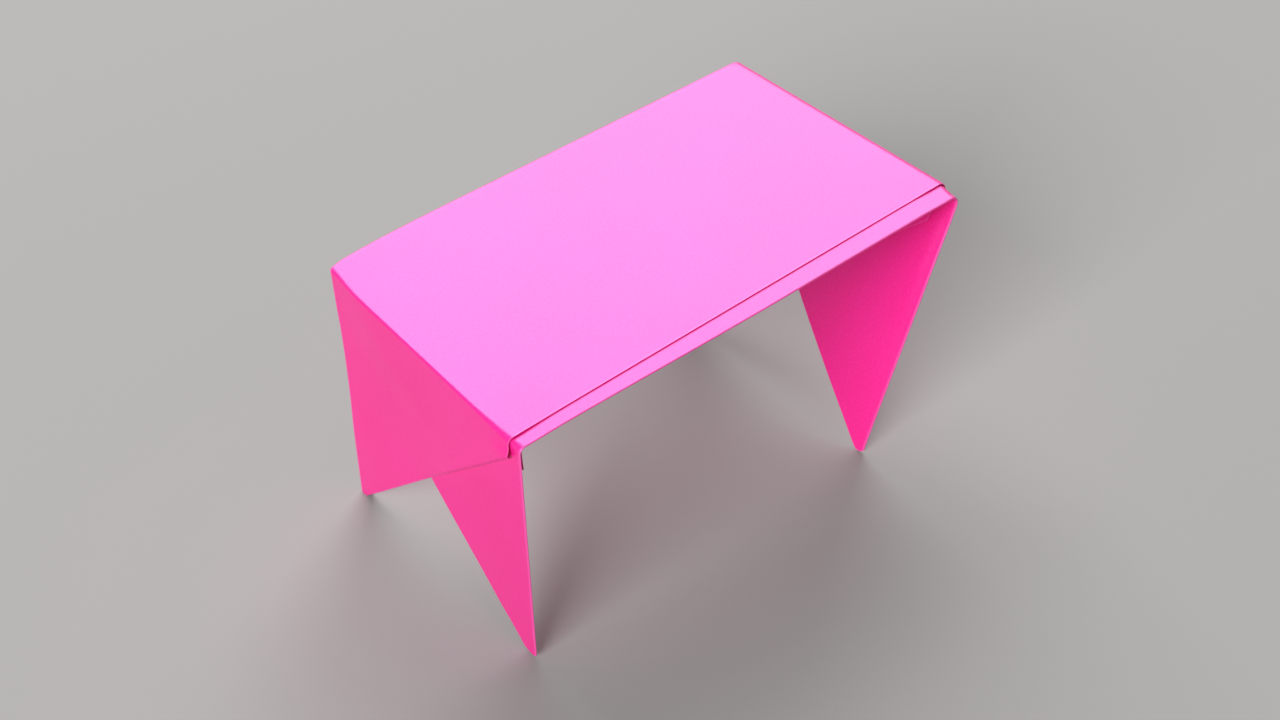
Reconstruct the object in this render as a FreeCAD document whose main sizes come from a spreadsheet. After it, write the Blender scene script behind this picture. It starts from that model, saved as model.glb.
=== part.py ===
import FreeCAD, Part
import math
import os
import Sketcher

# Origami table: two oblong sheets of paper, each folded in half along its length, with its two
# open corners folded in at 45 degrees. The sheets slip into each other from opposite sides and
# their ends are bent down, so each end of the table stands on two pointed legs that cross.
#
# Millimetres and degrees. +X runs along the top, +Y from the inner sheet's long fold (the near
# edge) to the outer sheet's long fold (the far edge), and +Z up from the floor.

SIZES = {
    # the paper, the room between the two sheets, and the room inside the inner one
    "paper_thickness": 0.1,
    "sheet_clearance": 0.04,
    "flap_gap": 0.08,
    # the top, over its outermost layer; it falls a little towards the right
    "top_length": 69.0,
    "top_width": 40.5,
    "top_tilt": 0.9,
    # the bends at its ends, each a little above the flaps: radius of the innermost face
    "inner_bend_radius": 0.34,
    "flap_to_bend": 2.0,
    # left legs: upright, and the outer sheet's tip curls outwards by flare_reach
    "flare_reach": 1.4,
    # right legs: they lean in under the top, and lean less towards the tip
    "lean_at_top": 24.2,
    "lean_at_tip": 14.4,
    # raw edges, each set back from the long fold of the other sheet
    "upper_set_back": 2.5,
    "under_set_back": 0.9,
    "hidden_set_back": 2.2,
    # the blunt tips of the legs, and how far their corners are rounded
    "outer_tip_width": 1.5,
    "outer_tip_radius": 0.5,
    "inner_left_tip_width": 3.9,
    "inner_left_tip_radius": 1.5,
    "inner_right_tip_width": 2.0,
    "inner_right_tip_radius": 0.8,
    # how far a cut reaches past the paper
    "cut_margin": 5.0,
}
START, END, CENTRE = 1, 2, 3
ORIGIN = (-1, START)
X_AXIS, Y_AXIS = -1, -2

doc = FreeCAD.newDocument("OrigamiTable")
sheet = doc.addObject("Spreadsheet::Sheet", "Sizes")
for row, (alias, value) in enumerate(SIZES.items(), start=1):
    sheet.set(f"A{row}", alias)
    sheet.set(f"B{row}", str(value))
    sheet.setAlias(f"B{row}", alias)
doc.recompute()


class Size:
    """A length or angle: the number it is drawn with and the expression that drives it."""

    def __init__(self, number, text):
        self.number = number
        self.text = text

    def __add__(self, other):
        return Size(self.number + other.number, f"({self.text} + {other.text})")

    def __sub__(self, other):
        return Size(self.number - other.number, f"({self.text} - {other.text})")

    def __mul__(self, other):
        return Size(self.number * other.number, f"({self.text} * {other.text})")

    def __truediv__(self, other):
        return Size(self.number / other.number, f"({self.text} / {other.text})")


def size(alias):
    return Size(float(getattr(sheet, alias)), f"Sizes.{alias}")


def plain(number):
    return Size(number, str(number))


def cosine(angle):
    return Size(math.cos(math.radians(angle.number)), f"cos({angle.text} * 1 deg)")


def point(x, y):
    return FreeCAD.Vector(x, y, 0)


def on_circle(centre, radius, angle):
    return centre + point(math.cos(angle), math.sin(angle)) * radius


def arc(centre, radius, start, end):
    circle = Part.Circle(centre, FreeCAD.Vector(0, 0, 1), radius)
    return Part.ArcOfCircle(circle, start, end)


def new_sketch(body, name, role):
    plane = next(item for item in body.Origin.OriginFeatures if item.Role == role)
    sketch = body.newObject("Sketcher::SketchObject", f"{body.Name}_{name}")
    sketch.AttachmentSupport = [(plane, "")]
    sketch.MapMode = "FlatFace"
    return sketch


def join(sketch, kind, *geometry):
    sketch.addConstraint(Sketcher.Constraint(kind, *geometry))


def bind(sketch, value, kind, *geometry):
    """Adds a dimension and ties it to the sheet of sizes."""
    index = sketch.addConstraint(Sketcher.Constraint(kind, *geometry, value.number))
    sketch.setExpression(f"Constraints[{index}]", value.text)


def bind_angle(sketch, value, geometry):
    angle = math.radians(value.number)
    index = sketch.addConstraint(Sketcher.Constraint("Angle", geometry, angle))
    sketch.setExpression(f"Constraints[{index}]", f"{value.text} * 1 deg")


def bind_place(sketch, geometry, end, x=None, y=None):
    """Ties a point's distances from the sketch's axes; each is a positive size."""
    place = sketch.getPoint(geometry, end)
    for kind, value, side in (("DistanceX", x, place.x), ("DistanceY", y, place.y)):
        if value is not None:
            ends = [ORIGIN, (geometry, end)] if side > 0 else [(geometry, end), ORIGIN]
            bind(sketch, value, kind, *ends[0], *ends[1])


def measure(sketch, name, geometry, end):
    """Names a point's distance along X, for other features to read."""
    place = sketch.getPoint(geometry, end)
    distance = Sketcher.Constraint("DistanceX", *ORIGIN, geometry, end, place.x)
    index = sketch.addConstraint(distance)
    sketch.setDriving(index, False)
    sketch.renameConstraint(index, name)


# Depths are counted inwards from the outermost face. From the outside, an end of the table
# holds: outer layer and its flap, inner layer and its flap, flap_gap, the same four reversed.

paper = size("paper_thickness")
inner_depth = paper * plain(2) + size("sheet_clearance")
inner_stack = paper * plain(4) + size("flap_gap")
outer_stack = inner_stack + inner_depth * plain(2)
bend_radius = outer_stack + size("inner_bend_radius")
mean_lean = (size("lean_at_top") + size("lean_at_tip")) / plain(2)

# The corners are folded in at 45 degrees, so a left flap is as tall as its panel is wide, and
# the height of the top follows. The outer sheet's tip starts to curl where the left legs cross.

outer_tips = [size("outer_tip_width"), size("outer_tip_width")]
inner_tips = [size("inner_left_tip_width"), size("inner_right_tip_width")]
outer_panel = size("top_width") - size("upper_set_back")
inner_panel = size("top_width") - size("hidden_set_back")
top_height = outer_panel - outer_tips[0] + size("flap_to_bend") + bend_radius
flare_height = (size("top_width") - outer_tips[0] - inner_tips[0]) / plain(2)

# The fold line that both sheets follow, in the XZ plane: the outermost face from the tip of a
# left leg, over the top, to the tip of a right leg. Its bends share one radius.

radius = bend_radius.number
tilt = math.radians(size("top_tilt").number)
lean_top = math.radians(size("lean_at_top").number)
lean_tip = math.radians(size("lean_at_tip").number)
flat_length = size("top_length") - bend_radius * plain(2)
left_centre = point(radius, top_height.number - radius)
top_start = on_circle(left_centre, radius, math.pi / 2 - tilt)
top_end = top_start + point(math.cos(tilt), -math.sin(tilt)) * flat_length.number
right_centre = top_end + left_centre - top_start
leg_start = on_circle(right_centre, radius, -lean_top)
leg_radius = leg_start.y / (math.sin(lean_top) - math.sin(lean_tip))
leg_centre = on_circle(leg_start, leg_radius, -lean_top)


def draw_fold_line(body, left_rise, right_rise, flared):
    """Draws the fold line, split at the heights where a leg's flaps end."""
    sketch = new_sketch(body, "fold_line", "XZ_Plane")
    foot = flare_height.number if flared else 0
    split = math.pi + math.asin((leg_centre.y - right_rise.number) / leg_radius)
    for line in (
        Part.LineSegment(point(0, foot), point(0, left_rise.number)),
        Part.LineSegment(point(0, left_rise.number), point(0, left_centre.y)),
        arc(left_centre, radius, math.pi / 2 - tilt, math.pi),
        Part.LineSegment(top_start, top_end),
        arc(right_centre, radius, -lean_top, math.pi / 2 - tilt),
        arc(leg_centre, leg_radius, math.pi - lean_top, split),
        arc(leg_centre, leg_radius, split, math.pi - lean_tip),
    ):
        sketch.addGeometry(line, False)
    leg, rise, left_bend, top, right_bend, upper, lower, flare = range(8)
    join(sketch, "Tangent", leg, END, rise, START)
    join(sketch, "Tangent", rise, END, left_bend, END)
    join(sketch, "Tangent", left_bend, START, top, START)
    join(sketch, "Tangent", top, END, right_bend, END)
    join(sketch, "Tangent", right_bend, START, upper, START)
    join(sketch, "Tangent", upper, END, lower, START)
    join(sketch, "Equal", upper, lower)
    join(sketch, "Vertical", leg)
    join(sketch, "PointOnObject", leg, START, Y_AXIS)
    join(sketch, "PointOnObject", lower, END, X_AXIS)
    if flared:
        draw_flare(sketch, leg, flare)
    else:
        join(sketch, "PointOnObject", leg, START, X_AXIS)

    bind(sketch, bend_radius, "Radius", left_bend)
    bind(sketch, bend_radius, "Radius", right_bend)
    bind(sketch, flat_length, "Distance", top)
    bind_place(sketch, rise, START, y=left_rise)
    bind_place(sketch, rise, END, y=top_height - bend_radius)
    bind_place(sketch, lower, START, y=right_rise)
    bind_angle(sketch, plain(90) + size("top_tilt"), left_bend)
    bind_angle(sketch, plain(90) - size("top_tilt") + size("lean_at_top"), right_bend)
    tip = sketch.getPoint(lower, END)
    ray = sketch.addGeometry(Part.LineSegment(leg_centre, tip), True)
    join(sketch, "Coincident", ray, START, lower, CENTRE)
    join(sketch, "Coincident", ray, END, lower, END)
    bind_angle(sketch, plain(180) - size("lean_at_tip"), ray)
    measure(sketch, "tip_x", lower, END)
    measure(sketch, "right_centre_x", right_bend, CENTRE)
    return sketch


def draw_flare(sketch, leg, flare):
    """Adds the arc in which an upright leg's tip curls outwards to the floor."""
    height = flare_height.number
    reach = size("flare_reach").number
    flare_radius = (height**2 + reach**2) / (2 * reach)
    angle = math.asin(height / flare_radius)
    sketch.addGeometry(arc(point(-flare_radius, height), flare_radius, -angle, 0), False)
    join(sketch, "Tangent", flare, END, leg, START)
    join(sketch, "PointOnObject", flare, START, X_AXIS)
    bind_place(sketch, flare, START, x=size("flare_reach"))
    bind_place(sketch, leg, START, y=flare_height)


def draw_fold_section(body, depth, stack, far, raw_edges):
    """Draws the folded sheet's section at its left tip: two layers joined by the long fold.

    The layers start at depth and depth + stack - paper. far says which edge the fold is on,
    and raw_edges gives how far from the near edge each layer's raw edge lies, outermost first.
    """
    sketch = new_sketch(body, "fold_section", "XY_Plane")
    centre_x = depth + stack / plain(2)
    centre_y = size("top_width") - stack / plain(2) if far else stack / plain(2)
    centre = point(centre_x.number, centre_y.number)
    turn = (0, math.pi) if far else (math.pi, 2 * math.pi)
    outer_end, inner_end = (END, START) if far else (START, END)
    depths = [depth, depth + paper, depth + stack - paper, depth + stack]
    raw = [raw_edges[0], raw_edges[0], raw_edges[1], raw_edges[1]]
    for x, y in zip(depths, raw):
        side = Part.LineSegment(point(x.number, y.number), point(x.number, centre.y))
        sketch.addGeometry(side, False)
    outside, inside, far_inside, far_outside, first_raw, second_raw, fold, hollow = range(8)
    for i, j in ((0, 1), (2, 3)):
        ends = (point(depths[i].number, raw[i].number), point(depths[j].number, raw[j].number))
        sketch.addGeometry(Part.LineSegment(*ends), False)
    sketch.addGeometry(arc(centre, stack.number / 2, *turn), False)
    sketch.addGeometry(arc(centre, stack.number / 2 - paper.number, *turn), False)

    join(sketch, "Coincident", first_raw, START, outside, START)
    join(sketch, "Coincident", first_raw, END, inside, START)
    join(sketch, "Coincident", second_raw, START, far_inside, START)
    join(sketch, "Coincident", second_raw, END, far_outside, START)
    join(sketch, "Tangent", outside, END, fold, outer_end)
    join(sketch, "Tangent", far_outside, END, fold, inner_end)
    join(sketch, "Tangent", inside, END, hollow, outer_end)
    join(sketch, "Tangent", far_inside, END, hollow, inner_end)
    for side in (outside, inside, far_inside, far_outside):
        join(sketch, "Vertical", side)
    join(sketch, "Horizontal", first_raw)
    join(sketch, "Horizontal", second_raw)
    join(sketch, "Coincident", fold, CENTRE, hollow, CENTRE)
    bind(sketch, stack / plain(2), "Radius", fold)
    bind(sketch, stack / plain(2) - paper, "Radius", hollow)
    bind_place(sketch, fold, CENTRE, x=centre_x, y=centre_y)
    bind_place(sketch, first_raw, START, y=raw_edges[0])
    bind_place(sketch, second_raw, START, y=raw_edges[1])
    return sketch


def draw_flap_section(body, name, depth, near, far):
    """Draws the section of one folded-in corner, pressed flat against its layer."""
    sketch = new_sketch(body, name, "XY_Plane")
    left, right = depth, depth + paper
    corners = [(left, near), (right, near), (right, far), (left, far)]
    for i, (x, y) in enumerate(corners):
        next_x, next_y = corners[(i + 1) % 4]
        ends = (point(x.number, y.number), point(next_x.number, next_y.number))
        sketch.addGeometry(Part.LineSegment(*ends), False)
    for side in range(4):
        join(sketch, "Coincident", side, END, (side + 1) % 4, START)
        join(sketch, "Vertical" if side % 2 else "Horizontal", side)
    bind_place(sketch, 0, START, x=left, y=near)
    bind_place(sketch, 2, START, x=right, y=far)
    return sketch


def place_at_left_tip(sketch, flared):
    """Stands a section square to a flared leg's tip; an upright leg needs no turn."""
    if flared:
        sketch.AttachmentOffset = FreeCAD.Placement(
            FreeCAD.Vector(), FreeCAD.Rotation(FreeCAD.Vector(0, 1, 0), 1)
        )
        sketch.setExpression("AttachmentOffset.Base.x", "-Sizes.flare_reach")
        turn = f"2 * atan(Sizes.flare_reach / {flare_height.text})"
        sketch.setExpression("AttachmentOffset.Rotation.Angle", turn)


def place_at_right_tip(sketch, fold_line):
    """Stands a section square to the right leg's tip, with depth counted inwards."""
    sketch.AttachmentOffset = FreeCAD.Placement(
        FreeCAD.Vector(), FreeCAD.Rotation(FreeCAD.Vector(0, 1, 0), 1)
    )
    sketch.setExpression("AttachmentOffset.Base.x", f"{fold_line.Name}.Constraints.tip_x")
    turn = "(180 + Sizes.lean_at_tip) * 1 deg"
    sketch.setExpression("AttachmentOffset.Rotation.Angle", turn)


def edges_below(fold_line, height, rightwards):
    """Names the fold line's edges on one leg, from its tip up to a height."""
    names = []
    for index, edge in enumerate(fold_line.Shape.Edges, start=1):
        on_side = (edge.CenterOfMass.x > size("top_length").number / 2) == rightwards
        if on_side and edge.CenterOfMass.z < height.number:
            names.append(f"Edge{index}")
    return names


def sweep(body, section, fold_line, edges):
    pipe = body.newObject("PartDesign::AdditivePipe", f"{section.Name}_swept")
    pipe.Profile = section
    pipe.Spine = (fold_line, edges)
    doc.recompute()


def cut_leg_outline(body, name, far, tip, corner_radius, rise_per_run, rightwards):
    """Cuts one leg to its pointed outline: the 45-degree fold of the sheet's corners.

    The outline is drawn with x counted from the sheet's long fold and y from the floor. Seen
    square to the YZ plane, a leaning leg's fold rises less than it runs, by rise_per_run.
    """
    sketch = new_sketch(body, name, "YZ_Plane")
    margin = size("cut_margin")
    tip_radius = corner_radius.number
    slope = math.atan(rise_per_run.number)
    beyond = size("top_width") + margin
    slope_top = (beyond - tip) * rise_per_run
    low = -margin.number
    inset = tip.number - tip_radius * math.tan(slope / 2)
    fold_centre = point(tip_radius, tip_radius)
    slope_centre = point(inset, tip_radius)
    slope_foot = on_circle(slope_centre, tip_radius, slope - math.pi / 2)
    corners = [
        point(beyond.number, slope_top.number),
        point(beyond.number, low),
        point(low, low),
        point(low, tip_radius),
        point(0, tip_radius),
    ]
    for start, end in zip(corners, corners[1:]):
        sketch.addGeometry(Part.LineSegment(start, end), False)
    sketch.addGeometry(arc(fold_centre, tip_radius, math.pi, 1.5 * math.pi), False)
    sketch.addGeometry(Part.LineSegment(point(tip_radius, 0), point(inset, 0)), False)
    sketch.addGeometry(arc(slope_centre, tip_radius, -math.pi / 2, slope - math.pi / 2), False)
    sketch.addGeometry(Part.LineSegment(slope_foot, corners[0]), False)
    sketch.addGeometry(Part.Point(point(tip.number, 0)), True)
    right, bottom, left, ledge, fold_corner, sole, slope_corner, fold, toe = range(9)
    for line in (right, bottom, left):
        join(sketch, "Coincident", line, END, line + 1, START)
    join(sketch, "Coincident", ledge, END, fold_corner, START)
    join(sketch, "Tangent", fold_corner, END, sole, START)
    join(sketch, "Tangent", sole, END, slope_corner, START)
    join(sketch, "Tangent", slope_corner, END, fold, START)
    join(sketch, "Coincident", fold, END, right, START)
    join(sketch, "Vertical", right)
    join(sketch, "Horizontal", bottom)
    join(sketch, "Vertical", left)
    join(sketch, "Horizontal", ledge)
    join(sketch, "Horizontal", sole)
    join(sketch, "PointOnObject", fold_corner, END, X_AXIS)
    join(sketch, "PointOnObject", fold_corner, START, Y_AXIS)
    join(sketch, "Horizontal", fold_corner, START, fold_corner, CENTRE)
    join(sketch, "PointOnObject", toe, START, X_AXIS)
    join(sketch, "PointOnObject", toe, START, fold)
    join(sketch, "Equal", fold_corner, slope_corner)
    bind(sketch, corner_radius, "Radius", fold_corner)
    bind_place(sketch, toe, START, x=tip)
    bind_place(sketch, right, START, x=beyond, y=slope_top)
    bind_place(sketch, bottom, START, y=margin)
    bind_place(sketch, bottom, END, x=margin)

    turned = FreeCAD.Rotation(FreeCAD.Vector(0, 1, 0), 180 if far else 0)
    sketch.AttachmentOffset = FreeCAD.Placement(FreeCAD.Vector(), turned)
    sketch.setExpression("AttachmentOffset.Base.z", "Sizes.top_length / 2")
    if far:
        sketch.setExpression("AttachmentOffset.Base.x", "Sizes.top_width")
    doc.recompute()
    cut = body.newObject("PartDesign::Pocket", f"{sketch.Name}_cut")
    cut.Profile = sketch
    cut.setExpression("Length", "Sizes.top_length")
    cut.Reversed = rightwards != far
    before = body.Shape.Volume
    doc.recompute()
    if not cut.Shape.Volume < before:
        raise RuntimeError(f"{cut.Name} removed nothing")


def fold_sheet(name, far, depth, stack, panel, raw_edges, tips, tip_radii):
    """Builds one folded sheet; far says which edge its long fold is on.

    panel is the width of its outermost layer, and raw_edges how far each layer's raw edge lies
    from the near edge, outermost first. tips are the widths of its left and its right tip.
    """
    body = doc.addObject("PartDesign::Body", name)
    body.Label = name
    slopes = [plain(1), cosine(mean_lean)]
    rises = [(panel - tip) * slope for tip, slope in zip(tips, slopes)]
    fold_line = draw_fold_line(body, *rises, far)
    doc.recompute()
    section = draw_fold_section(body, depth, stack, far, raw_edges)
    place_at_left_tip(section, far)
    doc.recompute()
    sweep(body, section, fold_line, [])

    flap_ends = [raw_edges[0], size("top_width") - stack / plain(2)]
    if not far:
        flap_ends = [stack / plain(2), raw_edges[0]]
    layers = [("outer", depth + paper), ("under", depth + stack - paper * plain(2))]
    for layer, flap_depth in layers:
        flap = draw_flap_section(body, f"left_{layer}_flap", flap_depth, *flap_ends)
        place_at_left_tip(flap, far)
        doc.recompute()
        sweep(body, flap, fold_line, edges_below(fold_line, rises[0], False))
        flap = draw_flap_section(body, f"right_{layer}_flap", flap_depth, *flap_ends)
        place_at_right_tip(flap, fold_line)
        doc.recompute()
        sweep(body, flap, fold_line, edges_below(fold_line, rises[1], True))
    cut_leg_outline(body, "left_outline", far, tips[0], tip_radii[0], slopes[0], False)
    cut_leg_outline(body, "right_outline", far, tips[1], tip_radii[1], slopes[1], True)

    past_fold_line = f"(Sizes.flare_reach - {bend_radius.text}) * 1 mm"
    right_centre_x = f"{fold_line.Name}.Constraints.right_centre_x"
    body.setExpression("Placement.Base.x", f"({past_fold_line} - {right_centre_x}) / 2")
    body.setExpression("Placement.Base.y", "-Sizes.top_width / 2")
    doc.recompute()
    return body


# Outer sheet: long fold along the far edge, its layers the topmost and the lowest of the top.

outer_sheet = fold_sheet(
    "outer_sheet",
    far=True,
    depth=plain(0),
    stack=outer_stack,
    panel=outer_panel,
    raw_edges=[size("upper_set_back"), size("under_set_back")],
    tips=outer_tips,
    tip_radii=[size("outer_tip_radius"), size("outer_tip_radius")],
)

# Inner sheet: long fold along the near edge, slipped between the outer sheet's two layers.

inner_sheet = fold_sheet(
    "inner_sheet",
    far=False,
    depth=inner_depth,
    stack=inner_stack,
    panel=inner_panel,
    raw_edges=[inner_panel, inner_panel],
    tips=inner_tips,
    tip_radii=[size("inner_left_tip_radius"), size("inner_right_tip_radius")],
)

for item in doc.Objects:
    if "Invalid" in item.State or "Error" in item.State:
        raise RuntimeError(f"{item.Name} did not build: {item.State}")

os.makedirs("parts", exist_ok=True)
for body in (outer_sheet, inner_sheet):
    if body.Shape.isNull() or not body.Shape.isValid() or len(body.Shape.Solids) != 1:
        raise RuntimeError(f"{body.Label} is not one valid solid")
    body.Shape.exportStep(f"parts/{body.Label}.step")
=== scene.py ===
import math

import bmesh
import bpy
from mathutils import Matrix, Vector


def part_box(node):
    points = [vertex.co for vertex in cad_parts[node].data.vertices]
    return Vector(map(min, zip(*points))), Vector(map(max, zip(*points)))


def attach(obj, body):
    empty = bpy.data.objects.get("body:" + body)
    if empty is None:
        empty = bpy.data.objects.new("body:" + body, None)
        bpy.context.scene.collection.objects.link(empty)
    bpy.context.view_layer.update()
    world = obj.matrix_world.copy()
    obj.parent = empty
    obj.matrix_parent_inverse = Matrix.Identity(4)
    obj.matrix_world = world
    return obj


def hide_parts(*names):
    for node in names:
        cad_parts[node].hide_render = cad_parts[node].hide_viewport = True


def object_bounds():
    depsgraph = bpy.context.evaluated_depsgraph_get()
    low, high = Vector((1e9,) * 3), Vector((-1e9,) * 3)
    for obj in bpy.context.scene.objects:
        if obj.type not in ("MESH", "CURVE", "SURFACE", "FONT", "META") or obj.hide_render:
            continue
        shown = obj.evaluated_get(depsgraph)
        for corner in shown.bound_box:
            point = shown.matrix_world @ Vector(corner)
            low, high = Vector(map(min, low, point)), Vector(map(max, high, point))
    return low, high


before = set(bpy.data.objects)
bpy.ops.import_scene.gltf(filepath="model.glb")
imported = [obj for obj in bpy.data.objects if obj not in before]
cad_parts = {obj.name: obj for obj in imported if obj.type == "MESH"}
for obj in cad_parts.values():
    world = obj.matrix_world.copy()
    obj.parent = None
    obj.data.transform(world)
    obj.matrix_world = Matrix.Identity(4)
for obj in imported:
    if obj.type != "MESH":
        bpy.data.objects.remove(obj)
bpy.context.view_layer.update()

# ---------------------------------------------------------------------------------------
# The paper: thin origami paper, dyed hot pink through both faces, with a soft satin dressing.
# Short fibres give it a fine grain, and the dye is thinner where a fold or a cut edge has rubbed, with a
# painted highlight along those folds and cut edges.

paper = bpy.data.materials.new("pink_paper")
paper.use_nodes = True
nodes = paper.node_tree.nodes
links = paper.node_tree.links
nodes.clear()


def add(kind, at, **settings):
    """A node of that kind, placed on the grid, with its settings."""
    node = nodes.new(kind)
    node.location = (at[0] * 220, at[1] * -220)
    for name, value in settings.items():
        setattr(node, name, value)
    return node


def mottle(at, scale, detail, roughness):
    """Noise that lies on the paper as it was before it was folded. scale is in features per millimetre."""
    noise = add("ShaderNodeTexNoise", at)
    noise.inputs["Scale"].default_value = scale
    noise.inputs["Detail"].default_value = detail
    noise.inputs["Roughness"].default_value = roughness
    links.new(unfolded.outputs["Vector"], noise.inputs["Vector"])
    return noise


def stretch(source, at, low, high, to_low=0.0, to_high=1.0):
    """A value spread from low..high to to_low..to_high."""
    spread = add("ShaderNodeMapRange", at)
    spread.inputs["From Min"].default_value = low
    spread.inputs["From Max"].default_value = high
    spread.inputs["To Min"].default_value = to_low
    spread.inputs["To Max"].default_value = to_high
    links.new(source, spread.inputs["Value"])
    return spread.outputs["Result"]


def tint(before, mask, colour, at):
    """The colour before it, going over to another where the mask is."""
    mix = add("ShaderNodeMix", at, data_type="RGBA")
    links.new(mask, mix.inputs["Factor"])
    links.new(before, mix.inputs[6])
    mix.inputs[7].default_value = (*colour, 1)
    return mix.outputs[2]


unfolded = add("ShaderNodeAttribute", (0, 1), attribute_name="unfolded")
worn_and_highlighted = add("ShaderNodeAttribute", (0, 4), attribute_name="worn_and_highlighted")

clouds = mottle((1, 0), scale=0.06, detail=2, roughness=0.5)
fibres = mottle((1, 1), scale=2.6, detail=5, roughness=0.62)
specks = mottle((1, 2), scale=5.5, detail=2, roughness=0.5)
tooth = mottle((1, 3), scale=4.2, detail=4, roughness=0.7)

# The colours of the dye: two that drift into each other, then fibres, specks, and over them a paler pink
# along the folds and cut edges that is partly wear and partly a painted highlight.
pink = (0.935, 0.0070, 0.255)
warm_pink = (0.960, 0.0110, 0.283)
fibre_pink = (0.990, 0.026, 0.335)
speck_red = (0.62, 0.004, 0.130)
worn_and_highlight_pink = (0.975, 0.150, 0.500)

dye = add("ShaderNodeMix", (2, 0), data_type="RGBA")
dye.inputs[6].default_value = (*pink, 1)
dye.inputs[7].default_value = (*warm_pink, 1)
links.new(stretch(clouds.outputs["Fac"], (2, -1), low=0.35, high=0.65), dye.inputs["Factor"])
fibre_mask = stretch(fibres.outputs["Fac"], (2, 1), low=0.46, high=0.66, to_high=0.8)
speck_mask = stretch(specks.outputs["Fac"], (2, 2), low=0.61, high=0.71, to_high=0.7)
# The paler pink along the folds and cut edges: partly rubbed wear, partly a painted highlight.
worn_and_highlighted_mask = stretch(worn_and_highlighted.outputs["Fac"], (2, 4), low=0.0, high=1.0, to_high=0.75)
colour = tint(dye.outputs[2], fibre_mask, fibre_pink, (3, 0))
colour = tint(colour, speck_mask, speck_red, (4, 0))
colour = tint(colour, worn_and_highlighted_mask, worn_and_highlight_pink, (5, 0))

# The tooth of the surface, 0.03 mm deep at most.
bump = add("ShaderNodeBump", (5, 3))
bump.inputs["Strength"].default_value = 0.25
bump.inputs["Distance"].default_value = 0.00003
links.new(tooth.outputs["Fac"], bump.inputs["Height"])

skin = add("ShaderNodeBsdfPrincipled", (6, 1))
skin.inputs["IOR"].default_value = 1.8
skin.inputs["Specular IOR Level"].default_value = 0.75
skin.inputs["Specular Tint"].default_value = (0.35, 0.37, 0.80, 1)
links.new(colour, skin.inputs["Base Color"])
satin = stretch(tooth.outputs["Fac"], (5, 2), low=0.3, high=0.7, to_low=0.34, to_high=0.42)
links.new(satin, skin.inputs["Roughness"])
links.new(bump.outputs["Normal"], skin.inputs["Normal"])
surface = add("ShaderNodeOutputMaterial", (7, 1))
links.new(skin.outputs["BSDF"], surface.inputs["Surface"])

# ---------------------------------------------------------------------------------------
# The outer sheet: half a square of origami paper, folded in half along its length with its four
# corners turned in at 45 degrees, then bent down at both ends over the inner sheet.
# Its long fold is the table's far edge. All its sizes are in millimetres until it is finished.

MM = 0.001
paper_thickness = 0.1
turned_in = 0.06  # radius of the folds that turn the corners in
left_further_out = 0.24  # the paper's left bend, beyond the frame's
right_further_in = 0.37  # the right bend is rounder, so it starts inside the frame's
left_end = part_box("inner_sheet")[0].x / MM - left_further_out
right_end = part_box("outer_sheet")[1].x / MM - right_further_in
near_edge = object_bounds()[0][1] / MM
far_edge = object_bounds()[1][1] / MM
table_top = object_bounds()[1][2] / MM
middle = (left_end + right_end) / 2
half_top = (right_end - left_end) / 2
half_width = (far_edge - near_edge) / 2
top_tilt = math.radians(0.9)  # the top falls towards the right
middle_height = table_top - half_top * math.tan(top_tilt)


def ease(value):
    """0 to 1, with a soft start and end."""
    value = min(max(value, 0), 1)
    return value * value * (3 - 2 * value)


def between(value, low, high):
    """How far a value is from low to high, from 0 to 1, with a soft start and end."""
    return ease((value - low) / (high - low))


def score(sheet, normal, place, cut=False, corner=None):
    """A line pressed into the flat sheet, square to normal and that far out.

    cut takes off what is beyond it. With a corner, such as (1, -1), only that quarter is scored.
    """
    on_the_line = 0.0005
    scored = sheet.verts[:] + sheet.edges[:] + sheet.faces[:]
    if corner:
        quarter = []
        for face in sheet.faces:
            middle_of_face = face.calc_center_median()
            if middle_of_face.x * corner[0] > 0 and middle_of_face.y * corner[1] > 0:
                quarter += [face, *face.edges, *face.verts]
        # Each part once, and always in the same order.
        scored = list(dict.fromkeys(quarter))
    bmesh.ops.bisect_plane(
        sheet,
        geom=scored,
        dist=on_the_line,
        plane_co=Vector(normal) * place,
        plane_no=normal,
        clear_outer=cut,
    )


def read_off(value, rows):
    """A value read off a short list of (where, how much), along a smooth line through its rows."""
    value = min(max(value, rows[0][0]), rows[-1][0])
    at = max(i for i in range(len(rows) - 1) if value >= rows[i][0])
    slopes = []
    for i in (at, at + 1):
        before = rows[max(i - 1, 0)]
        after = rows[min(i + 1, len(rows) - 1)]
        slopes.append((after[1] - before[1]) / (after[0] - before[0]))
    (low, first), (high, second) = rows[at:at + 2]
    span = high - low
    share = (value - low) / span
    rise = first + (second - first) * ease(share)
    rise += span * slopes[0] * share * (1 - share) ** 2
    return rise - span * slopes[1] * share ** 2 * (1 - share)


def steps(low, high, size):
    """Places from low to high, about size apart."""
    count = max(1, round((high - low) / size))
    return [low + (high - low) * i / count for i in range(count + 1)]


def turn_over(beyond, radius):
    """Where a point beyond a fold goes when the paper is turned right over: along, and up."""
    angle = min(beyond / radius, math.pi)
    along = radius * math.sin(angle) - max(beyond - math.pi * radius, 0)
    return along, radius * (1 - math.cos(angle))


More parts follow.
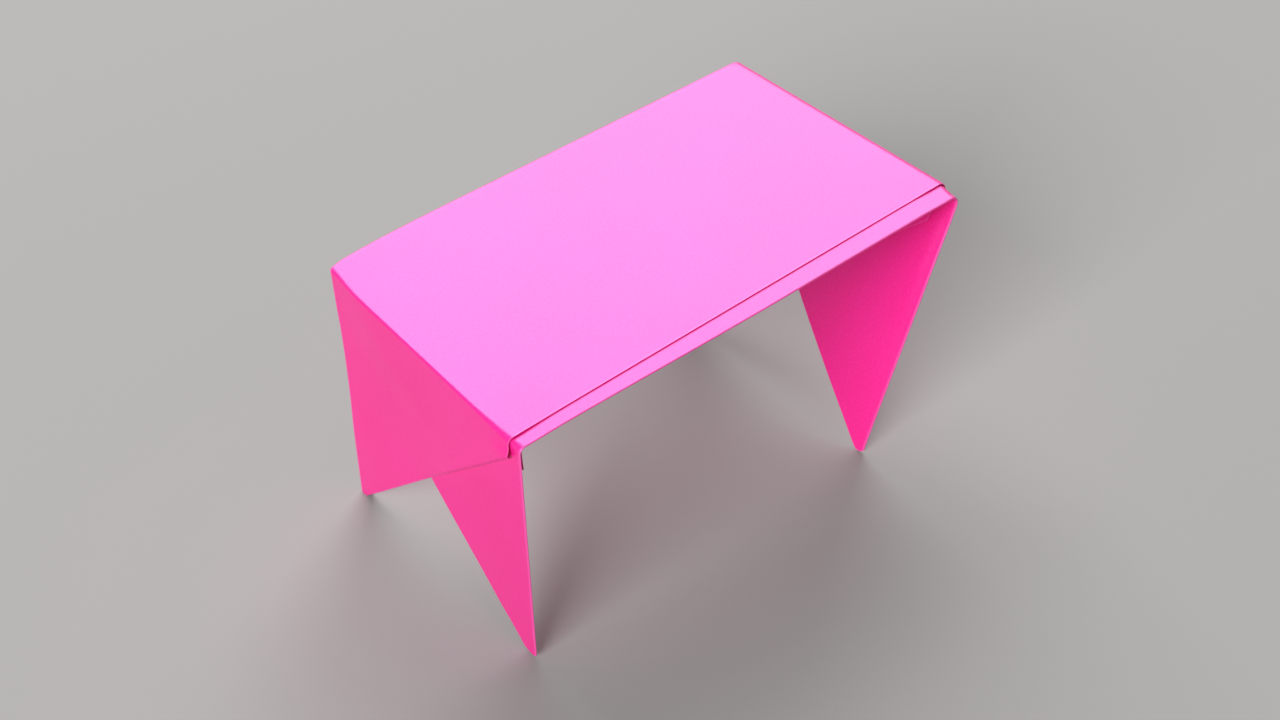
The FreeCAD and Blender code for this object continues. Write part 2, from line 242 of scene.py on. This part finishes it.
def bend_down(end, far, level, heading, place):
    """Where a point goes when the end is bent down: out, down.

    far is how far out it is on the flat sheet, level how deep it lies in the stack, heading the way that
    the top falls there, and place where the point is between the near edge and the far one.
    """
    tightest = 0.12
    lean_top, lean_foot = end["lean"]
    turn = math.pi / 2 + math.radians(lean_top) - heading
    slack = math.tan(turn / 2)
    radius = max(read_off(place, end["bend"]) - level, tightest)
    start = end["reach"] - (level + radius) * slack
    foot = level * math.tan(math.radians(lean_foot))
    leg = end["leg"] - (level + radius) * slack + foot
    # The top, the bend and the leg: how long each is flat and as laid, and how far it turns.
    runs = [
        (end["flat"][0], start, 0),
        (end["flat"][1], radius * turn, turn),
        (end["flat"][2], leg, math.radians(lean_foot - lean_top)),
    ]
    out = -level * math.sin(heading)
    down = level * math.cos(heading)
    for flat_length, laid_length, run_turn in runs:
        share = min(far / flat_length, 1) if far > 0 or flat_length == end["flat"][0] else 0
        bend = run_turn * share
        chord = laid_length * share
        if run_turn:
            chord = 2 * laid_length / run_turn * math.sin(bend / 2)
        out += chord * math.cos(heading + bend / 2)
        down += chord * math.sin(heading + bend / 2)
        heading += bend
        far -= flat_length
    return out, down


# How far the paper has given, as (where, how much). The left leg is pulled in by its depth below the top,
# the left bend sags by how far it is from the far edge and by how far inside the bend, and the right leg
# is pushed in by its depth below the top.
left_pull = ((0, 0.42), (10, 0.32), (20, -0.20), (28, -0.84), (40, -1.55))
left_sag = ((0, 0.8), (6, 0.7), (14, 0.45), (24, 0.2), (38, 0.1))
left_sag_fades = ((0, 1), (3, 0.6), (7, 0.28), (12, 0.08), (18, 0))
right_push = ((0, 0), (2, 0), (6, 0.45), (20, 0.75), (40, 1.1))
left_far_corner_in = 0.4
right_near_corner_in = 0.6


def sagging(side, place, down, out):
    """How far both sheets have given at their bends, as one stack.

    The left bend sags most at the far edge, and the leg there is pulled in at the top and out at the foot.
    The right leg is pushed in along the near edge.
    """
    move = Vector((0, 0, 0))
    from_far = half_width - place
    from_bend = half_top - out
    if side < 0:
        pull = read_off(down, left_pull)
        pull *= 1 - between(from_far, 0, 8 + 22 * between(down, 0, 20))
        move.x = pull * (1 - between(from_bend, 0, 12))
        sag = read_off(from_far, left_sag)
        sag *= read_off(from_bend, left_sag_fades)
        move.z = -sag * (1 - min(max(down / table_top, 0), 1))
        pinch = -left_far_corner_in * (1 - between(from_bend, -0.5, 2.2))
        pinch *= 1 - between(from_far, 0, 3)
        pinch *= 1 - between(down, 0, 7)
        move.y = pinch
    else:
        pushed = read_off(down, right_push) * between(from_far, 0, 25)
        corner = right_near_corner_in * between(from_far, 37, 40.2)
        corner *= 1 - between(down, 1, 6)
        corner *= 1 - between(from_bend, 0, 8)
        move.x = -pushed - corner
    return move


def cut_to_size(sheet, ends, upper, lower):
    """The flat sheet is cut out of a bigger one, with lines along its edges for their wear and painted
    highlight.

    It gives where the two long edges are, which aren't quite parallel to the fold.
    """
    blank_length = 80
    blank_margin = 2
    bmesh.ops.create_grid(sheet, x_segments=1, y_segments=1, size=1)
    blank = (blank_length, max(upper + lower) + blank_margin, 1)
    bmesh.ops.scale(sheet, vec=blank, verts=sheet.verts)
    for side, end in ends.items():
        score(sheet, (side, 0, 0), end["length"], cut=True)
        for inset in (0.25, 0.1):
            score(sheet, (side, 0, 0), end["length"] - inset)
    edges = {}
    for half, widths in ((1, upper), (-1, lower)):
        spread = ends[-1]["length"] + ends[1]["length"]
        normal = Vector((widths[0] - widths[1], half * spread, 0)).normalized()
        edges[half] = (normal, normal.dot(Vector((-ends[-1]["length"], half * widths[0], 0))))
        score(sheet, normal, edges[half][1], cut=True)
        for inset in (0.7, 0.45, 0.25, 0.1):
            score(sheet, normal, edges[half][1] - inset)
    return edges


def score_folds(sheet, ends, roll, widest):
    """Every line that the sheet is folded or bent along. It gives the four turned-in corners."""
    half_roll = math.pi * roll / 2
    close, apart = 0.35, 1.0

    # Lines that run along the sheet: close together at the long fold, and further apart beyond it.
    for place in steps(-half_roll, half_roll, roll * math.pi / 10):
        score(sheet, (0, 1, 0), place)
    for half in (-1, 1):
        for place in steps(half_roll + 0.15, 4, close) + steps(5, widest - 2, apart):
            score(sheet, (0, half, 0), place)

    # Lines that run across the sheet: over the top, then at each bend, down the leg and at its foot.
    for place in steps(1.0 - half_top, half_top - 3, 1.4):
        score(sheet, (1, 0, 0), place)
    for side, end in ends.items():
        start, bend = end["flat"][:2]
        foot = end["length"]
        bend_lines = [start - 0.4, start - 0.2]
        bend_lines += steps(start, start + bend, bend / 14)
        bend_lines += [start + bend + 0.2, start + bend + 0.4]
        leg_lines = steps(start + bend + 1.0, foot - 3, apart) + steps(foot - 2.6, foot - 0.4, close)
        for place in bend_lines + leg_lines:
            score(sheet, (side, 0, 0), place)

    # Lines at the turned-in corners, closest where the paper turns over.
    turn = math.pi * turned_in
    slope_lines = [-0.6, -0.3, -0.2, -0.12, -0.06] + steps(0, turn, turn / 4) + [0.4, 0.8]
    corners = []
    for side, end in ends.items():
        for half in (-1, 1):
            slope = math.radians(end["slope"])
            normal = Vector((side * math.cos(slope), half * math.sin(slope), 0))
            place = normal.dot(Vector((side * end["length"], half * end["tip"][half], 0)))
            corners.append((side, half, normal, place))
            for beyond in slope_lines:
                score(sheet, normal, place + beyond, corner=(side, half))

    # Lines that cross almost at one point are drawn together there.
    bmesh.ops.remove_doubles(sheet, verts=sheet.verts[:], dist=0.015)
    return corners


def thicken(sheet, unfolded_at):
    """The folded sheet is given the paper's thickness, half of it on each side."""
    sheet.normal_update()
    for vert in sheet.verts:
        vert.co += vert.normal * (paper_thickness / 2)
    sheet.normal_update()
    outside = {}
    for vert in sheet.verts:
        outside[vert[unfolded_at].to_tuple(4)] = (vert.co.copy(), vert.normal.copy())
    bmesh.ops.solidify(sheet, geom=sheet.faces[:], thickness=paper_thickness)
    # A point in the crook of a fold can be thrown too far, and goes back to the paper's own thickness.
    thrown = paper_thickness * 1.3
    for vert in sheet.verts:
        above, outwards = outside[vert[unfolded_at].to_tuple(4)]
        if (vert.co - above).length > thrown:
            vert.co = above - outwards * paper_thickness
    sheet.normal_update()


def fold_sheet(name, fold, upper, lower, depth, roll, ends, settle, press):
    """A whole sheet, cut, folded and bent.

    fold is 1 where its long fold is the far edge and -1 for the near one. upper and lower are the widths of
    its halves at the left and right ends, depth is how deep its upper half lies, roll the long fold's
    radius, and ends what each end is like. settle and press are its own small bends.
    """
    half_roll = math.pi * roll / 2
    for side, end in ends.items():
        turn = math.pi / 2 + math.radians(end["lean"][0]) - side * top_tilt
        radius = end["nominal"]
        slack = radius * math.tan(turn / 2)
        end["flat"] = (end["reach"] - slack, radius * turn, end["leg"] - slack)
        end["length"] = sum(end["flat"])
    sheet = bmesh.new()
    edges = cut_to_size(sheet, ends, upper, lower)
    corners = score_folds(sheet, ends, roll, max(upper + lower))

    unfolded_at = sheet.verts.layers.float_vector.new("unfolded")
    worn_and_highlighted_at = sheet.verts.layers.float.new("worn_and_highlighted")
    blunt_length = 3
    for vert in sheet.verts:
        x, y = vert.co.xy
        vert[unfolded_at] = vert.co
        side = 1 if x > 0 else -1
        half = 1 if y > 0 else -1
        end = ends[side]
        flat = Vector((x, y, 0))
        # Wear and a painted highlight along the cut edges and the long fold.
        from_edge = min(edges[half][1] - edges[half][0].dot(flat), end["length"] - abs(x))
        edge_wear_and_highlight = 0.55 * (1 - between(from_edge, 0.0, 0.3))
        fold_wear_and_highlight = 0.75 * (1 - between(abs(y), half_roll * 0.3, half_roll + 0.2))
        wear_and_highlight = max(edge_wear_and_highlight, fold_wear_and_highlight)
        # The end of the long fold, blunted at the foot.
        blunt = end["blunt"]
        if abs(y) < blunt and abs(x) > end["length"] - blunt_length:
            notch = blunt - math.sqrt(blunt ** 2 - (blunt - abs(y)) ** 2)
            x -= side * notch * (abs(x) - end["length"] + blunt_length) / blunt_length
        # The corner turned in, with a little wear and a painted highlight along its slope.
        lift = 0
        past_slope = -99  # nowhere near a slope
        for corner_side, corner_half, normal, place in corners:
            if corner_side == side and corner_half == half:
                past_slope = normal.dot(flat) - place
                wear_and_highlight = max(wear_and_highlight, 0.3 * (1 - between(abs(past_slope - 0.08), 0.03, 0.25)))
                if past_slope > 0:
                    along, lift = turn_over(past_slope, turned_in)
                    x += normal.x * (along - past_slope)
                    y += normal.y * (along - past_slope)
        # How worn each point is, together with its painted highlight.
        vert[worn_and_highlighted_at] = wear_and_highlight
        # The sheet folded in half.
        if y > half_roll:
            from_fold, level = y - half_roll + roll, lift
        elif y < -half_roll:
            from_fold, level = -y - half_roll + roll, 2 * roll - lift
        else:
            angle = math.pi / 2 - y / roll
            from_fold = roll - (roll - lift) * math.sin(angle)
            level = roll - (roll - lift) * math.cos(angle)
        from_fold += paper_thickness / 2
        from_fold, level = settle(x, from_fold, level, half)
        level += depth + paper_thickness / 2
        # The ends bent down.
        place = fold * (half_width - from_fold)
        across = place / half_width
        skew = end["skew"] * across
        out, down = bend_down(end, abs(x) - skew, level, side * top_tilt, place)
        place -= fold * end["drift"] * min(max(down / table_top, 0), 1)
        vert.co = Vector((middle + side * (out + skew), place, middle_height - down))
        vert.co += sagging(side, place, down, out + skew)
        vert.co += press(side, half, down, from_fold, out + skew, past_slope)

    # Its faces are turned to the outside of the fold, and it is given its thickness and taken to metres.
    if fold == 1:
        bmesh.ops.reverse_faces(sheet, faces=sheet.faces[:])
    thicken(sheet, unfolded_at)
    sharp = math.radians(40)
    for edge in sheet.edges:
        edge.smooth = len(edge.link_faces) == 2 and edge.calc_face_angle(0) < sharp
    for face in sheet.faces:
        face.smooth = True
    bmesh.ops.scale(sheet, vec=(MM, MM, MM), verts=sheet.verts)
    mesh = bpy.data.meshes.new(name)
    sheet.to_mesh(mesh)
    sheet.free()
    mesh.materials.append(paper)
    piece = bpy.data.objects.new(name, mesh)
    bpy.context.scene.collection.objects.link(piece)
    return piece


def outer_settle(x, from_fold, level, half):
    """The stack is pressed thin along the far fold, and the under half lies up against the inner sheet."""
    flattest = 0.35
    lies_up = 0.2
    pressed = flattest + (1 - flattest) * between(from_fold, 0.2, 1.5)
    if half < 0:
        level -= lies_up * between(from_fold, 30, 38) * (1 - between(abs(x), half_top - 7, half_top - 3))
    return from_fold, level * pressed


def outer_press(side, half, down, from_fold, out, past_slope):
    """At the left the short ends of the near cut edges stand off the inner sheet, the under one further down.

    The upper half's slope stands a little proud where it crosses the inner sheet's leg, and rolls under.
    """
    upper_corner_off = Vector((-0.05, -0.25, 0.7))
    under_corner_off = Vector((0.15, -1.15, 0))
    under_corner_down = 1.8
    slope_off = 0.55
    rolled_under = 0.35
    move = Vector((0, 0, 0))
    if side > 0:
        return move
    past_bend = between(out, half_top - 3, half_top - 1.2)
    if half > 0:
        loose = between(from_fold, 30, 38.5) * between(down, 0.3, 2.5) * (1 - between(down, 3, 12))
        move += upper_corner_off * loose * past_bend
        proud = between(down + from_fold, 35.5, 40.5) * between(from_fold, 16, 25) * between(down, 0.5, 3)
        rolled = min(max((past_slope + 0.3) / 0.3, 0), 1) ** 2
        move.x -= (slope_off - rolled_under * rolled) * proud * past_bend
    else:
        loose = between(from_fold, 34.5, 39.3) * (1 - between(down, 3, 12))
        move += under_corner_off * loose * between(out, half_top - 0.9, half_top - 0.2)
        move.z -= under_corner_down * loose * between(down, 0.2, 1.3) * past_bend
    return move


# The two bends, alike in both sheets: reach is how far out the lines of the top and the leg meet, nominal
# the radius that the flat sheet is marked out for, bend the real radius from the near edge to the far one,
# lean the degrees by which the leg leans in at its top and its foot, and skew how far it is out of square.
left_bend = {
    "reach": half_top,
    "nominal": 0.6,
    "bend": ((-20, 1.2), (-16, 0.7), (-10, 0.38), (14, 0.38), (20, 0.5)),
    "lean": (-0.25, -0.25),
    "skew": -0.26,
}
right_bend = {
    "reach": half_top + 1.2,
    "nominal": 1.5,
    "bend": ((-20, 1.5), (20, 1.6)),
    "lean": (24.2, 14.4),
    "skew": -0.6,
}

# The outer sheet's own two legs: leg is the length, slope the angle of the turned-in corners, tip the width
# that they leave at the foot in the upper and under half, blunt how round the fold's end is there, and drift
# how far the foot strays inwards.
outer_ends = {
    -1: {**left_bend, "leg": 39.74, "slope": 44.6, "tip": {1: 1.2, -1: 1.2}, "blunt": 0.6, "drift": 0.55},
    1: {**right_bend, "leg": 41.02, "slope": 45.0, "tip": {1: 1.5, -1: 3.2}, "blunt": 0.6, "drift": 0.0},
}
outer_sheet = fold_sheet(
    "paper_outer",
    fold=1,
    upper=(38.6, 37.65),
    lower=(39.75, 37.4),
    depth=0.0,
    roll=0.45,
    ends=outer_ends,
    settle=outer_settle,
    press=outer_press,
)
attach(outer_sheet, "root")
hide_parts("outer_sheet")

# ---------------------------------------------------------------------------------------
# The inner sheet: the other half of the same square, folded the same way and pushed into the
# outer one from the near side, so that its long fold is the table's near edge.


def inner_settle(x, from_fold, level, half):
    """The long fold is pressed flatter towards its left end, and there it stands in a little.

    The sheet lies right up under the outer one where no turned-in corner is between them.
    """
    stands_in = 0.6
    lies_up = 0.1
    left = 1 - between(x, -half_top, half_top)
    flattest = 0.5 - 0.15 * left
    pressed = flattest + (1 - flattest) * between(from_fold, 0.2, 2.0)
    from_fold += stands_in * (1 - between(x, -half_top - 5, 5))
    return from_fold, level * pressed - lies_up * (1 - between(abs(x), half_top - 6, half_top - 1))


def inner_press(side, half, down, from_fold, out, past_slope):
    """The left foot is lowest at its fold, and the right leg's fold bellies out a little between its ends."""
    foot_rise = 0.15
    belly = 0.5
    belly_length = 38
    move = Vector((0, 0, 0))
    if side < 0:
        move.z += foot_rise * from_fold * between(down, 34, 40)
    elif 0 < down < belly_length:
        move.y -= belly * math.sin(math.pi * down / belly_length) * (1 - between(from_fold, 0, 8))
    return move


inner_ends = {
    -1: {**left_bend, "leg": 40.0, "slope": 43.6, "tip": {1: 2.4, -1: 2.4}, "blunt": 1.2, "drift": 1.2},
    1: {**right_bend, "leg": 41.6, "slope": 45.0, "tip": {1: 1.2, -1: 1.2}, "blunt": 0.8, "drift": -0.32},
}
inner_sheet = fold_sheet(
    "paper_inner",
    fold=-1,
    upper=(38.0, 38.0),
    lower=(38.0, 38.0),
    depth=0.27,
    roll=0.19,
    ends=inner_ends,
    settle=inner_settle,
    press=inner_press,
)
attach(inner_sheet, "root")
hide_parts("inner_sheet")

# ---------------------------------------------------------------------------------------
# The floor: a plain pale sheet that the table stands on.

ground = bmesh.new()
bmesh.ops.create_grid(ground, x_segments=1, y_segments=1, size=6.0)
floor_mesh = bpy.data.meshes.new("floor")
ground.to_mesh(floor_mesh)
ground.free()
floor = bpy.data.objects.new("floor", floor_mesh)
bpy.context.scene.collection.objects.link(floor)
card = bpy.data.materials.new("floor_card")
card.use_nodes = True
card_surface = card.node_tree.nodes["Principled BSDF"]
card_surface.inputs["Base Color"].default_value = (0.32, 0.316, 0.312, 1)
card_surface.inputs["Roughness"].default_value = 0.9
floor_mesh.materials.append(card)

# ---------------------------------------------------------------------------------------
# The light: a pale room, a wide softbox behind the table and a smaller one at its left.
# The room looks brighter than the light that it gives, as a backdrop and in the paper's sheen.

room = bpy.data.worlds.new("room")
room.use_nodes = True
room_nodes = room.node_tree.nodes
room_links = room.node_tree.links
rays = room_nodes.new("ShaderNodeLightPath")
seen = rays.outputs["Is Camera Ray"]
for ray in ("Is Glossy Ray", "Is Transmission Ray"):
    either = room_nodes.new("ShaderNodeMath")
    either.operation = "MAXIMUM"
    room_links.new(seen, either.inputs[0])
    room_links.new(rays.outputs[ray], either.inputs[1])
    seen = either.outputs[0]
light_given = 0.12
brightness_seen = 0.42
strength = room_nodes.new("ShaderNodeMapRange")
strength.inputs["To Min"].default_value = light_given
strength.inputs["To Max"].default_value = brightness_seen
room_links.new(seen, strength.inputs["Value"])
room_links.new(strength.outputs["Result"], room_nodes["Background"].inputs["Strength"])
room_nodes["Background"].inputs["Color"].default_value = (1, 1, 1, 1)
bpy.context.scene.world = room


def softbox(name, direction, distance, width, height, power):
    """A flat lamp that faces the table from that direction, in metres and watts."""
    lamp = bpy.data.lights.new(name, "AREA")
    lamp.shape = "RECTANGLE"
    lamp.size = width
    lamp.size_y = height
    lamp.energy = power
    holder = bpy.data.objects.new(name, lamp)
    towards = Vector(direction).normalized()
    holder.location = towards * distance
    holder.rotation_euler = towards.to_track_quat("Z", "Y").to_euler()
    bpy.context.scene.collection.objects.link(holder)


softbox("softbox_behind", (0.39, 0.62, 0.675), distance=2.0, width=2.15, height=1.4, power=56)
softbox("softbox_left", (-0.81, -0.27, 0.52), distance=2.0, width=1.1, height=1.1, power=41)

# ---------------------------------------------------------------------------------------
# The camera: held above the near left corner, looking down at the table.

lens = bpy.data.cameras.new("camera")
lens.sensor_width = 36
lens.lens = 46.65
lens.clip_start = 0.01
camera = bpy.data.objects.new("camera", lens)
right = Vector((0.76896, -0.6388, -0.02508))
up = Vector((0.46013, 0.5258, 0.71541))
back = Vector((-0.44382, -0.56166, 0.69825))
held_at = Vector((-0.098556, -0.12316, 0.17073))
camera.matrix_world = Matrix((
    (right.x, up.x, back.x, held_at.x),
    (right.y, up.y, back.y, held_at.y),
    (right.z, up.z, back.z, held_at.z),
    (0, 0, 0, 1),
))
bpy.context.scene.collection.objects.link(camera)
bpy.context.scene.camera = camera
bpy.context.scene.view_settings.view_transform = "Standard"
